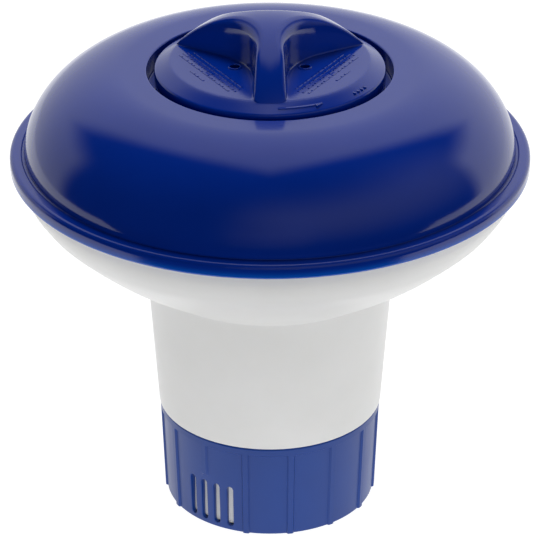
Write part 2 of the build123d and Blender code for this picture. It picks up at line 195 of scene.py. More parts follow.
def dome_point(angle, inset=0.0):
    """Point (r, z) of the dome's skin, or of one inset by the wall."""
    span = DOME_FOOT_R - CROWN_R - inset
    rise = CROWN_Z - DOME_FOOT_Z
    return (
        CROWN_R + span * math.cos(math.radians(angle)) ** DOME_EXPONENT,
        DOME_FOOT_Z - inset + rise * math.sin(math.radians(angle)) ** DOME_EXPONENT,
    )


def curve_through(points, per_span=6):
    """Smooth (r, z) curve through points, as Catmull-Rom spans."""
    spread = []
    for i in range(len(points) - 1):
        p1 = Vector(points[i])
        p2 = Vector(points[i + 1])
        p0 = Vector(points[i - 1]) if i else p1 * 2 - p2
        p3 = Vector(points[i + 2]) if i + 2 < len(points) else p2 * 2 - p1
        for k in range(per_span):
            t = k / per_span
            spread.append(tuple(
                0.5 * (2 * p1 + (p2 - p0) * t + (2 * p0 - 5 * p1 + 4 * p2 - p3) * t**2
                       + (3 * p1 - p0 - 3 * p2 + p3) * t**3)
            ))
    spread.append(tuple(points[-1]))
    return spread


# ---- added and cut details ----


def arc_block(inner_r, outer_r, low_z, high_z, azimuth, width_deg, bevel=0.25):
    """Curved block with rounded edges, centred on an azimuth."""
    section = rounded([
        (inner_r, low_z, 0), (outer_r, low_z, bevel), (outer_r, high_z, bevel), (inner_r, high_z, 0)])
    ends = math.degrees(bevel / outer_r)
    half = width_deg / 2
    turns = [(-half, bevel), (-half + 0.3 * ends, 0.3 * bevel), (-half + ends, 0)]
    turns += [(-half + ends + (width_deg - 2 * ends) * k / 8, 0) for k in range(1, 8)]
    turns += [(half - ends, 0), (half - 0.3 * ends, 0.3 * bevel), (half, bevel)]
    middle_z = (low_z + high_z) / 2
    points = []
    faces = []
    for turn, shrink in turns:
        scale = 1 - shrink / ((high_z - low_z) / 2)
        for r, z in section:
            inset = shrink if r > inner_r else 0
            points.append(polar(r - inset, azimuth + turn, middle_z + (z - middle_z) * scale))
    n = len(section)
    for c in range(len(turns) - 1):
        for k in range(n):
            j = (k + 1) % n
            faces.append((c * n + k, c * n + j, (c + 1) * n + j, (c + 1) * n + k))
    faces.append(tuple(range(n)))
    faces.append(tuple((len(turns) - 1) * n + k for k in reversed(range(n))))
    return points, faces


def circle_outline(x, y, radius, count=40):
    turns = [2 * math.pi * k / count for k in range(count)]
    return [(x + radius * math.cos(a), y + radius * math.sin(a)) for a in turns]


def arc_outline(inner_r, outer_r, azimuth, width_deg, count=12):
    """Outline of a ring's sector, centred on an azimuth."""
    turns = [azimuth + width_deg * (k / count - 0.5) for k in range(count + 1)]
    outer = [tuple(polar(outer_r, a, 0).xy) for a in turns]
    inner = [tuple(polar(inner_r, a, 0).xy) for a in reversed(turns)]
    return outer + inner


def cut_through(piece, outlines, low_z, high_z):
    """Cuts upright holes with the given (x, y) outlines through a level stretch of a piece."""
    points = []
    faces = []
    for outline in outlines:
        first = len(points)
        count = len(outline)
        points += [(x, y, z) for z in (low_z, high_z) for x, y in outline]
        for k in range(count):
            n = (k + 1) % count
            faces.append((first + k, first + n, first + count + n, first + count + k))
        faces.append(tuple(first + k for k in reversed(range(count))))
        faces.append(tuple(first + count + k for k in range(count)))
    mesh = bpy.data.meshes.new("cutter")
    mesh.from_pydata([Vector(p) * MM for p in points], [], faces)
    tool = bpy.data.objects.new("cutter", mesh)
    bpy.context.scene.collection.objects.link(tool)
    cut = piece.modifiers.new("holes", "BOOLEAN")
    cut.operation = "DIFFERENCE"
    cut.solver = "EXACT"
    cut.object = tool
    bpy.context.view_layer.update()
    graph = bpy.context.evaluated_depsgraph_get()
    result = bpy.data.meshes.new_from_object(piece.evaluated_get(graph))
    piece.modifiers.clear()
    piece.data = result
    bpy.data.objects.remove(tool)
    result.set_sharp_from_angle(angle=math.radians(SHARP_DEG))
    return piece


def add_details(piece, details):
    """Adds closed (points, faces) details to a piece's mesh."""
    work = bmesh.new()
    work.from_mesh(piece.data)
    for points, faces in details:
        corners = [work.verts.new(Vector(p) * MM) for p in points]
        for face in faces:
            work.faces.new([corners[v] for v in face]).smooth = True
    bmesh.ops.recalc_face_normals(work, faces=work.faces)
    work.to_mesh(piece.data)
    work.free()
    piece.data.set_sharp_from_angle(angle=math.radians(SHARP_DEG))


# ---- float_top ----


def float_top_outline():
    """Closed outline of the blue dome, its flange, the cap's well and the tube's socket."""
    outer = [dome_point(90 - 90 * k / 60) for k in range(60)]
    spigot_inner = SPIGOT_R - SHELL_T + 0.4
    inner = [p for p in (dome_point(90 * k / 40, SHELL_T) for k in range(41)) if p[0] < spigot_inner]
    well = rounded([
        (LEDGE_R, LEDGE_BOTTOM_Z, 0.3),
        (LEDGE_R, LEDGE_TOP_Z, 0.3),
        (HOLE_R, LEDGE_TOP_Z, 0.3),
        (HOLE_R, CROWN_Z, HOLE_ROUND),
        (CROWN_R - 1.0, CROWN_Z, 0),
    ])[2:]
    flange = rounded([
        dome_point(6) + (0,),
        (DOME_FOOT_R, DOME_FOOT_Z - 0.1, 0.15),
        (DOME_FOOT_R + 0.5, FLANGE_TOP_Z - 0.3, 0.15),
        (DOME_FOOT_R + 0.8, FLANGE_TOP_Z, 0.25),
        (FLANGE_R, FLANGE_TOP_Z - 0.1, 1.2),
        (FLANGE_R, JOINT_Z, 0.6),
        (SPIGOT_R, JOINT_Z, 0.2),
        (SPIGOT_R, SPIGOT_Z, 0.5),
        (spigot_inner, SPIGOT_Z, 0.5),
        (spigot_inner, inner[0][1], 0),
    ])[1:-1]
    socket = rounded([
        (WELL_WALL_R, CROWN_Z - SHELL_T, 0),
        (WELL_WALL_R, LEDGE_TOP_Z, 0.2),
        (SOCKET_R + TUBE_WALL, LEDGE_TOP_Z, 0.3),
        (SOCKET_R + TUBE_WALL, SOCKET_Z, 0.4),
        (SOCKET_R, SOCKET_Z, 0.4),
        (SOCKET_R, LEDGE_BOTTOM_Z, 0.2),
        (LEDGE_R, LEDGE_BOTTOM_Z, 0),
    ])[:-1]
    return well + outer + flange + inner + socket


def build_float_top(material):
    points, faces = lathe(float_top_outline(), 384)
    piece = make_piece("dome", points, faces, material, "float", "float_top")
    notches = [
        arc_outline(LEDGE_R - 1, NOTCH_R, FIRST_LUG + 120 * k, NOTCH_WIDTH_DEG) for k in range(3)]
    return cut_through(piece, notches, LEDGE_BOTTOM_Z - 0.5, LEDGE_TOP_Z + 0.5)


# ---- float_bowl ----


def build_float_bowl(material):
    outside = curve_through(
        [(BOWL_RIM_R, JOINT_Z - 0.5), (62.0, 90.3), (59.7, 86.2), (56.0, 81.8), (45.7, 73.0),
         (NECK_R + 0.25, NECK_LIP_Z + 0.75)], 8)
    outline = rounded([
        (BOWL_BORE_R, JOINT_Z, 0.3),
        (BOWL_RIM_R, JOINT_Z, 0.25),
        outside[1] + (0,),
    ])[1:-1]
    outline += outside[1:]
    outline += rounded([
        outside[-1] + (0,),
        (NECK_R, NECK_LIP_Z + 0.45, 0.3),
        (NECK_R, NECK_LIP_Z, 0.2),
        (NECK_BORE_R, NECK_LIP_Z, 0.1),
        (NECK_BORE_R, SEAT_Z, 0.2),
        (SEAT_R, SEAT_Z, 0.4),
        (SEAT_R, 70.2, 0.4),
        (44.5, 74.9, 4.0),
        (54.4, 83.4, 4.0),
        (BOWL_BORE_R, SPIGOT_Z - 0.6, 0.5),
        (BOWL_BORE_R, JOINT_Z, 0),
    ])[1:-1]
    points, faces = lathe(outline, 320)
    return make_piece("bowl", points, faces, material, "float", "float_bowl")


# ---- walls with slots ----


def spread_azimuths(marks, step):
    """Sorted azimuths in [-180, 180) with the marks among them and no gap above a step."""
    marks = sorted({round((m + 180) % 360 - 180, 4) for m in marks})
    spread = []
    for here, ahead in zip(marks, marks[1:] + [marks[0] + 360]):
        cuts = max(1, math.ceil((ahead - here) / step - 1e-6))
        spread += [here + (ahead - here) * k / cuts for k in range(cuts)]
    return spread


def spread_levels(marks, step):
    """Heights from the lowest to the highest mark, with no gap above a step."""
    marks = sorted(set(marks))
    spread = []
    for here, ahead in zip(marks, marks[1:]):
        cuts = max(1, math.ceil((ahead - here) / step - 1e-6))
        spread += [here + (ahead - here) * k / cuts for k in range(cuts)]
    return spread + [marks[-1]]


def slot_azimuths(first_group):
    """Azimuths of both groups of slots, given the middle of the first group."""
    half = (SLOTS_PER_GROUP - 1) / 2
    groups = (first_group, first_group + SLOT_GROUP_STEP)
    return [g + (i - half) * SLOT_PITCH_DEG for g in groups for i in range(SLOTS_PER_GROUP)]


class SlottedShell:
    """A closed shell of revolution: an outer and an inner wall with slots through both.

    Both walls share columns (azimuths) and levels (heights). Round each slot, the plain grid
    gives way to rings that run from the block's edge to the slot's rounded outline.
    """

    def __init__(self, outer_r, inner_r, azimuths, levels, slots, half_height, middle_z):
        self.walls = (outer_r, inner_r)
        self.azimuths = azimuths
        self.levels = levels
        self.points = []
        self.faces = []
        half_pitch = SLOT_PITCH_DEG / 2
        self.low = middle_z - half_height - SLOT_MARGIN
        self.high = middle_z + half_height + SLOT_MARGIN
        self.half_height = half_height
        self.middle_z = middle_z
        self.grids = [self.grid(r) for r in self.walls]
        inside = [self.in_block(a, slots, half_pitch) for a in azimuths]
        for wall in (0, 1):
            self.plain_faces(wall, inside)
        for slot in slots:
            self.slot_rings(slot, half_pitch)

    def add(self, r, azimuth, z):
        self.points.append(polar(r, azimuth, z))
        return len(self.points) - 1

    def grid(self, radius):
        return [[self.add(radius(a, z), a, z) for z in self.levels] for a in self.azimuths]

    @staticmethod
    def apart(a, b):
        return (a - b + 180) % 360 - 180

    def in_block(self, azimuth, slots, half_pitch):
        """True where the column to the right of this azimuth belongs to a slot's block."""
        return any(-half_pitch - 1e-6 < self.apart(azimuth, s) < half_pitch - 1e-3 for s in slots)

    def plain_faces(self, wall, inside):
        grid = self.grids[wall]
        for c in range(len(grid)):
            n = (c + 1) % len(grid)
            for k in range(len(self.levels) - 1):
                middle = (self.levels[k] + self.levels[k + 1]) / 2
                if inside[c] and self.low < middle < self.high:
                    continue
                self.faces.append((grid[c][k], grid[n][k], grid[n][k + 1], grid[c][k + 1]))

    def slot_outline(self, block, half_pitch, grow):
        """Outline point for each point (azimuth offset, z) of the block's edge."""
        straight = self.half_height - SLOT_HALF_WIDTH
        outline = []
        for offset, z in block:
            across = offset / half_pitch
            up = (z - self.middle_z) / (self.high - self.middle_z)
            half = SLOT_HALF_WIDTH + grow
            if abs(up) > 0.999:
                angle = across * math.pi / 2
                x = half * math.sin(angle)
                y = math.copysign(straight + half * math.cos(angle), up)
            else:
                x = math.copysign(half, across)
                y = straight * up
            outline.append((x, self.middle_z + y))
        return outline

    def slot_rings(self, slot, half_pitch):
        columns = [
            i for i, a in enumerate(self.azimuths) if abs(self.apart(a, slot)) < half_pitch + 1e-3]
        columns.sort(key=lambda i: self.apart(self.azimuths[i], slot))
        rows = [k for k, z in enumerate(self.levels) if self.low - 1e-6 < z < self.high + 1e-6]
        edge = [(c, rows[0]) for c in columns]
        edge += [(columns[-1], k) for k in rows[1:]]
        edge += [(c, rows[-1]) for c in reversed(columns[:-1])]
        edge += [(columns[0], k) for k in reversed(rows[1:-1])]
        block = [(self.apart(self.azimuths[c], slot), self.levels[k]) for c, k in edge]
        rings = []
        for wall, radius in enumerate(self.walls):
            base_r = radius(slot, self.middle_z)
            ring = [self.grids[wall][c][k] for c, k in edge]
            sign = -1 if wall == 0 else 1
            layers = []
            for grow, sink in ((0.6, 0.0), (0.18, 0.0), (0.05, 0.06), (0.0, 0.2)):
                shape = self.slot_outline(block, half_pitch, grow)
                layer = []
                for x, z in shape:
                    a = slot + math.degrees(x / base_r)
                    layer.append(self.add(radius(a, z) + sign * sink, a, z))
                layers.append(layer)
            rings.append([ring] + layers)
        count = len(edge)
        for stack in rings:
            for lower, upper in zip(stack, stack[1:]):
                for i in range(count):
                    j = (i + 1) % count
                    self.faces.append((lower[i], lower[j], upper[j], upper[i]))
        for i in range(count):
            j = (i + 1) % count
            self.faces.append((rings[0][-1][i], rings[0][-1][j], rings[1][-1][j], rings[1][-1][i]))

    def join(self, start, end, path):
        """Closes the shell from one ring of points to another along an (r, z) path."""
        rings = [start]
        for r, z in path:
            rings.append([self.add(r, a, z) for a in self.azimuths])
        if end is None:
            middle = self.add(0, 0, path[-1][1])
            last = rings[-1]
            for c in range(len(last)):
                self.faces.append((last[c], last[(c + 1) % len(last)], middle))
        else:
            rings.append(end)
        for lower, upper in zip(rings, rings[1:]):
            for c in range(len(lower)):
                n = (c + 1) % len(lower)
                self.faces.append((lower[c], lower[n], upper[n], upper[c]))

    def ring(self, wall, top):
        return [column[-1 if top else 0] for column in self.grids[wall]]


def smooth_step(low, high, x):
    t = min(1.0, max(0.0, (x - low) / (high - low)))
    return t * t * (3 - 2 * t)


def rib_azimuths():
    return [FIRST_RIB + 360 * i / RIB_COUNT for i in range(RIB_COUNT)]


def collar_radius(azimuth, z):
    """Outside radius of the collar: panels between ribs, and a plain band on top."""
    panel_top = COLLAR_TOP_Z - COLLAR_BAND
    over_ribs = COLLAR_BASE_R + (COLLAR_TOP_R - COLLAR_BASE_R) * min(1.0, z / panel_top)
    proud = smooth_step(panel_top - 0.25, panel_top + 0.15, z)
    for rib in rib_azimuths():
        off = abs((azimuth - rib + 180) % 360 - 180)
        side = 1 - smooth_step(RIB_HALF_DEG - RIB_EDGE_DEG, RIB_HALF_DEG + RIB_EDGE_DEG, off)
        short = any(abs((rib - s + 180) % 360 - 180) < 1 for s in SHORT_RIBS)
        if side and short:
            side *= smooth_step(SHORT_RIB_Z - 0.25, SHORT_RIB_Z + 0.25, z)
        proud = max(proud, side)
    return over_ribs - RIB_PROUD * (1 - proud)


def build_flow_collar(material):
    slots = slot_azimuths(SLOT_GROUP_AZIMUTH)
    marks = [s + side * SLOT_PITCH_DEG / 2 for s in slots for side in (-1, 1)]
    for rib in rib_azimuths():
        marks += [rib + side * (RIB_HALF_DEG + edge) for side in (-1, 1)
                  for edge in (-RIB_EDGE_DEG, 0, RIB_EDGE_DEG)]
    panel_top = COLLAR_TOP_Z - COLLAR_BAND
    low = SLOT_MIDDLE_Z - SLOT_HALF_HEIGHT - SLOT_MARGIN
    high = SLOT_MIDDLE_Z + SLOT_HALF_HEIGHT + SLOT_MARGIN
    levels = [COLLAR_FOOT_Z, low, SHORT_RIB_Z - 0.25, SHORT_RIB_Z, SHORT_RIB_Z + 0.25, high]
    levels += [panel_top - 0.25, panel_top - 0.05, panel_top + 0.15, COLLAR_TOP_Z - 0.4]
    shell = SlottedShell(
        collar_radius, lambda a, z: COLLAR_BORE_R,
        spread_azimuths(marks, 2.1), spread_levels(levels, 1.2),
        slots, SLOT_HALF_HEIGHT, SLOT_MIDDLE_Z,
    )
    top_edge = rounded([
        (COLLAR_TOP_R, COLLAR_TOP_Z - 0.5, 0),
        (COLLAR_TOP_R, COLLAR_TOP_Z, 0.35),
        (COLLAR_BORE_R, COLLAR_TOP_Z, 0.3),
        (COLLAR_BORE_R, COLLAR_TOP_Z - 0.5, 0),
    ])[1:-1]
    shell.join(shell.ring(0, True), shell.ring(1, True), top_edge)
    rings = [shell.ring(0, False)]
    for inset, z in ((0.03, 0.15), (0.3, 0.0)):
        rings.append([shell.add(collar_radius(a, COLLAR_FOOT_Z) - inset, a, z) for a in shell.azimuths])
    for lower, upper in zip(rings, rings[1:]):
        for c in range(len(lower)):
            n = (c + 1) % len(lower)
            shell.faces.append((lower[c], lower[n], upper[n], upper[c]))
    under = [(25.6, 0.0), (25.3, 0.0), (25.0, 0.22), (24.7, 0.3), (6.0, 0.3)]
    shell.join(rings[-1], None, under)
    floor = [(COLLAR_BORE_R, 0.5), (COLLAR_BORE_R - 0.4, COLLAR_FLOOR_T), (8.0, COLLAR_FLOOR_T)]
    shell.join(shell.ring(1, False), None, floor)
    piece = make_piece(
        "collar", shell.points, shell.faces, material, "collar", "flow_collar")
    drains = [circle_outline(0.0, 0.0, MIDDLE_DRAIN_R)]
    drains += [circle_outline(*polar(DRAIN_AT, 30 + 60 * k, 0).xy, DRAIN_R) for k in range(6)]
    return cut_through(piece, drains, -1, COLLAR_FLOOR_T + 1)


def build_tablet_tube(material):
    windows = slot_azimuths(SLOT_GROUP_AZIMUTH + COLLAR_TURN_DEG)
    marks = [s + side * SLOT_PITCH_DEG / 2 for s in windows for side in (-1, 1)]
    low = WINDOW_MIDDLE_Z - WINDOW_HALF_HEIGHT - SLOT_MARGIN
    high = WINDOW_MIDDLE_Z + WINDOW_HALF_HEIGHT + SLOT_MARGIN
    shell = SlottedShell(
        lambda a, z: SLEEVE_R, lambda a, z: HOPPER_FOOT_R,
        spread_azimuths(marks, 2.0), spread_levels([2.0, low, high, 20.0], 2.0),
        windows, WINDOW_HALF_HEIGHT, WINDOW_MIDDLE_Z,
    )
    upper = rounded([
        (SLEEVE_R, 20.0, 0),
        (SLEEVE_R, TUBE_SHOULDER_Z, 0.2),
        (TUBE_FOOT_R, TUBE_SHOULDER_Z, 0.3),
        (TUBE_NECK_R, NECK_LIP_Z, 0),
        (TUBE_NECK_R, SEAT_Z, 0.2),
        (TUBE_FLANGE_R, SEAT_Z, 0.4),
        (TUBE_FLANGE_R, SEAT_Z + TUBE_FLANGE_T, 0.4),
        (TUBE_NECK_R, SEAT_Z + TUBE_FLANGE_T, 0.4),
        (TUBE_TOP_R, SOCKET_Z, 0),
        (TUBE_TOP_R, LEDGE_BOTTOM_Z, 0.3),
        (TUBE_TOP_R - TUBE_WALL, LEDGE_BOTTOM_Z, 0.5),
        (TUBE_NECK_R - TUBE_WALL, SEAT_Z, 0),
        (TUBE_FOOT_R - TUBE_WALL, TUBE_SHOULDER_Z + 4, 3.0),
        (HOPPER_FOOT_R, TUBE_SHOULDER_Z, 1.0),
        (HOPPER_FOOT_R, 20.0, 0),
    ])[1:-1]
    shell.join(shell.ring(0, True), shell.ring(1, True), upper)
    lower = rounded([
        (SLEEVE_R, 2.0, 0),
        (SLEEVE_R, TUBE_BOTTOM_Z, 0.25),
        (HOPPER_FOOT_R, TUBE_BOTTOM_Z, 0.25),
        (HOPPER_FOOT_R, 2.0, 0),
    ])[1:-1]
    shell.join(shell.ring(0, False), shell.ring(1, False), lower)
    return make_piece(
        "tube", shell.points, shell.faces, material, "float", "tablet_tube")


# ---- cap ----
SPHERE_Z = GRIP_TOP_Z - GRIP_SPHERE_R
SIN60 = math.sin(math.radians(60))
TAN60 = math.tan(math.radians(60))


def beside_arm(azimuth, distance, side):
    """Point at a distance along an arm and beside its middle line, with the two directions."""
    a = math.radians(azimuth)
    out = Vector((math.sin(a), -math.cos(a)))
    left = Vector((math.cos(a), math.sin(a)))
    return out * distance + left * side, out, left


def grip_outline(half_width, round_r, end_r):
    """Foot of the three-armed grip as (point, outward normal, skeleton point) columns.

    Each third runs from the middle of one arm's end round to the middle of the next.
    """
    columns = []
    arc_middle = (half_width + round_r) / SIN60
    tangent_at = (half_width + round_r) / TAN60
    corner_r = min(ARM_CORNER_R, half_width * 0.6)
    end_flat = end_r - corner_r

    def arm_end(azimuth, sign):
        """Half of an arm's end and its straight wall, from the tip inwards."""
        half = []
        for k in range(5):
            side = sign * (half_width - corner_r) * k / 5
            point, out, left = beside_arm(azimuth, math.sqrt(end_r**2 - side**2), side)
            half.append((point, point.normalized(), beside_arm(azimuth, end_flat - 0.1 * k, 0)[0]))
        for k in range(6):
            turn = math.radians(90 * k / 5)
            side = sign * (half_width - corner_r + corner_r * math.sin(turn))
            distance = end_flat - 0.25 + corner_r * math.cos(turn)
            point, out, left = beside_arm(azimuth, distance, side)
            normal = out * math.cos(turn) + left * sign * math.sin(turn)
            half.append((point, normal, beside_arm(azimuth, end_flat - 0.5 - 0.3 * k, 0)[0]))
        steps = 14
        for k in range(1, steps):
            distance = (end_flat - 0.25) + (tangent_at - end_flat + 0.25) * k / steps
            inner = (end_flat - 2.25) + (tangent_at - end_flat + 2.25) * k / steps
            point, out, left = beside_arm(azimuth, distance, sign * half_width)
            half.append((point, left * sign, beside_arm(azimuth, inner, 0)[0]))
        return half

    for third in range(3):
        first = 120 * third
        second = first + 120
        bisector = first + 60
        columns += arm_end(first, 1)
        b = math.radians(bisector)
        out = Vector((math.sin(b), -math.cos(b)))
        left = Vector((math.cos(b), math.sin(b)))
        steps = 24
        for k in range(steps + 1):
            angle = math.radians(-30 + 60 * k / steps)
            normal = out * math.cos(angle) + left * math.sin(angle)
            point = out * arc_middle - normal.reflect(left) * round_r
            toward = -1 + 2 * k / steps
            azimuth = first if toward < 0 else second
            skeleton = beside_arm(azimuth, tangent_at * abs(toward), 0)[0]
            columns.append((point, normal.reflect(left), skeleton))
        columns += list(reversed(arm_end(second, -1)))[:-1]
    return columns


def sphere_height(point, sphere_r):
    return SPHERE_Z + math.sqrt(max(0.0, sphere_r**2 - point.length_squared))


def cap_top_height(radius):
    """Height of the cap's flat floor, which turns softly into the sloping band."""
    past = radius - CAP_FLOOR_R
    fall = (CAP_FLOOR_Z - CAP_RIM_TOP_Z) / (CAP_RIM_R - CAP_FLOOR_R)
    return CAP_FLOOR_Z - fall * 0.5 * (past + math.sqrt(past**2 + 0.25**2))


def grip_column(column, sphere_r, floor, edge_round, foot_round, draft):
    """Points of one column, from the skeleton over the rounded edge down to the floor."""
    point, normal, skeleton = column
    floor_z = floor(point.length)
    slope = math.tan(math.radians(draft))
    height = max(0.0, sphere_height(point, sphere_r) - floor_z)
    for _ in range(4):
        edge = point - normal * slope * height
        height = max(0.0, sphere_height(edge, sphere_r) - floor_z)
    edge = point - normal * slope * height
    edge_round = min(edge_round, 0.45 * height)
    foot_round = min(foot_round, 0.35 * height)
    inward = skeleton - edge
    reach = min(edge_round, 0.6 * inward.length)
    start = edge + inward.normalized() * reach if inward.length > 1e-6 else edge
    path = []
    steps = 7
    for k in range(steps):
        flat = skeleton.lerp(start, k / steps)
        path.append(Vector((flat.x, flat.y, sphere_height(flat, sphere_r))))
    top = Vector((start.x, start.y, sphere_height(start, sphere_r)))
    corner = Vector((edge.x, edge.y, floor_z + height))
    down = corner.z - edge_round
    side = point - normal * slope * (down - floor_z)
    bottom = Vector((side.x, side.y, down))
    for k in range(6):
        t = k / 5
        weight = 0.75
        total = (1 - t) ** 2 + 2 * weight * t * (1 - t) + t * t
        path.append((top * (1 - t) ** 2 + corner * 2 * weight * t * (1 - t) + bottom * t * t) / total)
    wall_end = point - normal * slope * foot_round
    wall_foot = Vector((wall_end.x, wall_end.y, floor_z + foot_round))
    for k in range(1, 5):
        path.append(bottom.lerp(wall_foot, k / 4))
    foot = Vector((point.x, point.y, floor_z))
    outside = point + normal * foot_round
    level = Vector((outside.x, outside.y, floor(outside.length)))
    for k in range(1, 5):
        t = k / 4
        path.append(wall_foot * (1 - t) ** 2 + foot * 2 * t * (1 - t) + level * t * t)
    return path


def floor_points(start, end):
    """Points across the cap's floor and band, from the grip's foot towards the rim."""
    radii = [CAP_FLOOR_R + step for step in (-1.0, -0.5, -0.25, -0.1, 0.0, 0.1, 0.25, 0.5)]
    first = Vector((start.x, start.y)).length
    last = Vector((end.x, end.y)).length
    points = []
    for radius in radii:
        t = max(0.0, (radius - first) / (last - first))
        flat = Vector((start.x, start.y)).lerp(Vector((end.x, end.y)), t)
        points.append(Vector((flat.x, flat.y, cap_top_height(flat.length) if t else start.z)))
    return points


def build_cap(material):
    outline = grip_outline(ARM_HALF_WIDTH, POCKET_ROUND, ARM_END_R)
    hollow = grip_outline(HOLLOW_HALF_WIDTH, POCKET_ROUND + 2, HOLLOW_END_R)
    ceiling = CAP_FLOOR_Z - CAP_FLOOR_T
    seat_z = CAP_RIM_BOTTOM_Z + RIM_CLEARANCE
    edge = rounded([
        (CAP_FLOOR_R + 1.2, cap_top_height(CAP_FLOOR_R + 1.2), 0),
        (CAP_RIM_R, CAP_RIM_TOP_Z, 0.7),
        (CAP_RIM_R, seat_z, 0.4),
        (CAP_SKIRT_R, seat_z, 0.2),
        (CAP_SKIRT_R, CAP_SKIRT_Z, 0.4),
        (CAP_SKIRT_R - CAP_SKIRT_T, CAP_SKIRT_Z, 0.4),
        (CAP_SKIRT_R - CAP_SKIRT_T, ceiling, 0.8),
        (22.0, ceiling, 0),
    ])
    count = len(outline)
    per_third = count // 3
    rim_azimuths = [120 * (i // per_third) + 120 * (i % per_third) / per_third for i in range(count)]
    points = []
    columns = []
    for i in range(count):
        near_hub = smooth_step(17.0, 9.0, outline[i][0].length)
        edge_round = EDGE_ROUND + (HUB_EDGE_ROUND - EDGE_ROUND) * near_hub
        top = grip_column(
            outline[i], GRIP_SPHERE_R, cap_top_height, edge_round, FOOT_ROUND, POCKET_DRAFT)
        inside = grip_column(
            hollow[i], GRIP_SPHERE_R - CAP_FLOOR_T, lambda radius: ceiling, 0.4, 0.3, 1.0)
        rim = [polar(r, rim_azimuths[i], z) for r, z in edge]
        path = top + floor_points(top[-1], rim[0]) + rim + list(reversed(inside))
        columns.append([len(points) + k for k in range(len(path))])
        points += path
    faces = []
    for here, ahead in zip(columns, columns[1:] + columns[:1]):
        for k in range(len(here) - 1):
            faces.append((here[k], ahead[k], ahead[k + 1], here[k + 1]))
    for lug in range(3):
        lug_points, lug_faces = arc_block(
            CAP_SKIRT_R - 0.4, LUG_R, CAP_SKIRT_Z + 0.2, CAP_SKIRT_Z + 2.6,
            FIRST_LUG + 120 * lug, LUG_WIDTH_DEG)
        faces += [tuple(len(points) + v for v in face) for face in lug_faces]
        points += lug_points
    piece = make_piece("lid", points, faces, material, "cap", "cap")
    vents = [circle_outline(*polar(VENT_AT, 60 + 120 * k, 0).xy, VENT_R) for k in range(3)]
    cut_through(piece, vents, ceiling - 1, CAP_FLOOR_Z + 1)
    add_details(piece, vent_rims() + floor_marks() + band_marks())
    return piece


def vent_rims():
    """Low rounded collars round the vents."""
    low = CAP_FLOOR_Z - 0.3
    high = CAP_FLOOR_Z + VENT_RIM_HEIGHT
    section = rounded([
        (VENT_R, low, 0), (VENT_RIM_R, low, 0), (VENT_RIM_R, high, 0.25), (VENT_R, high, 0.2)])
    points, faces = lathe(section, 40)
    return [([p + polar(VENT_AT, 60 + 120 * k, 0) for p in points], faces) for k in range(3)]


def raised_dash(centre, along, half_length):
    """Low bar on the cap's floor with leaning walls."""
    across = Vector((-along.y, along.x))
    points = []
    rings = ((0.0, CAP_FLOOR_Z - 0.2), (0.0, CAP_FLOOR_Z + 0.02), (0.1, CAP_FLOOR_Z + MARK_HEIGHT))
    for lean, z in rings:
        for u, v in ((-1, -1), (1, -1), (1, 1), (-1, 1)):
            flat = centre + along * u * (half_length - lean) + across * v * (MARK_HALF_WIDTH - lean)
            points.append(Vector((flat.x, flat.y, z)))
    faces = [(3, 2, 1, 0), (8, 9, 10, 11)]
    for ring in (0, 4):
        faces += [(ring + k, ring + (k + 1) % 4, ring + 4 + (k + 1) % 4, ring + 4 + k) for k in range(4)]
    return points, faces


def floor_marks():
    """Straight rows of raised dashes on the pocket floors, where a real cap carries lettering."""
    marks = []
    for pocket in range(3):
        out = polar(1, 60 + 120 * pocket, 0).xy
        along = Vector((-out.y, out.x))
        for row, (distance, half_row) in enumerate(MARK_ROWS):
            at = -half_row
            count = 0
            while at < half_row - 1.0:
                length = 0.8 + 0.4 * ((3 * count + 2 * row) % 5)
                marks.append(raised_dash(out * distance + along * (at + length / 2), along, length / 2))
                at += length + MARK_GAP
                count += 1
    return marks


def band_marks():
    """Turning arrow and a few ticks, raised on the sloping band."""
    middle_r = (CAP_FLOOR_R + CAP_RIM_R) / 2
    low = cap_top_height(middle_r) - 1.0
    high = cap_top_height(middle_r) + 0.1
    marks = [arc_block(middle_r - 0.4, middle_r + 0.4, low, high, ARROW_AZIMUTH, ARROW_DEG, 0.15)]
    head = ARROW_AZIMUTH + ARROW_DEG / 2 + 0.4
    for k in range(4):
        reach = 1.0 - 0.2 * k
        marks.append(arc_block(middle_r - reach, middle_r + reach, low, high, head + k, 0.9, 0.1))
    marks += [arc_block(middle_r - 0.8, middle_r + 0.8, low, high, a, 1.0, 0.1) for a in TICK_AZIMUTHS]
    return marks


# ================= materials =================


def node_material(name):
    """Empty node material with its Principled shader, and helpers to add and link nodes."""
    material = bpy.data.materials.new(name)
    material.use_nodes = True
    tree = material.node_tree
    shader = tree.nodes["Principled BSDF"]

    def add(kind, **settings):
        node = tree.nodes.new(kind)
        for key, value in settings.items():
            if key in node.inputs:
                node.inputs[key].default_value = value
            else:
                setattr(node, key, value)
        return node

    place = add("ShaderNodeTexCoord")
    return material, tree, shader, add, place


def noise(tree, add, place, scale, detail=4.0, rough=0.5, stretch=None):
    """Noise in object space, at a scale in cycles per metre, stretched if asked."""
    texture = add("ShaderNodeTexNoise", Scale=scale, Detail=detail, Roughness=rough)
    source = place.outputs["Object"]
    if stretch:
        mapping = add("ShaderNodeMapping", Scale=stretch)
        tree.links.new(source, mapping.inputs["Vector"])
        source = mapping.outputs["Vector"]
    tree.links.new(source, texture.inputs["Vector"])
    return texture.outputs["Fac"]


def spread(tree, add, value, low, high, from_low=0.3, from_high=0.7):
    """Maps a noise value onto a range."""
    node = add("ShaderNodeMapRange")
    node.inputs["From Min"].default_value = from_low
    node.inputs["From Max"].default_value = from_high
    node.inputs["To Min"].default_value = low
    node.inputs["To Max"].default_value = high
    tree.links.new(value, node.inputs["Value"])
    return node.outputs["Result"]


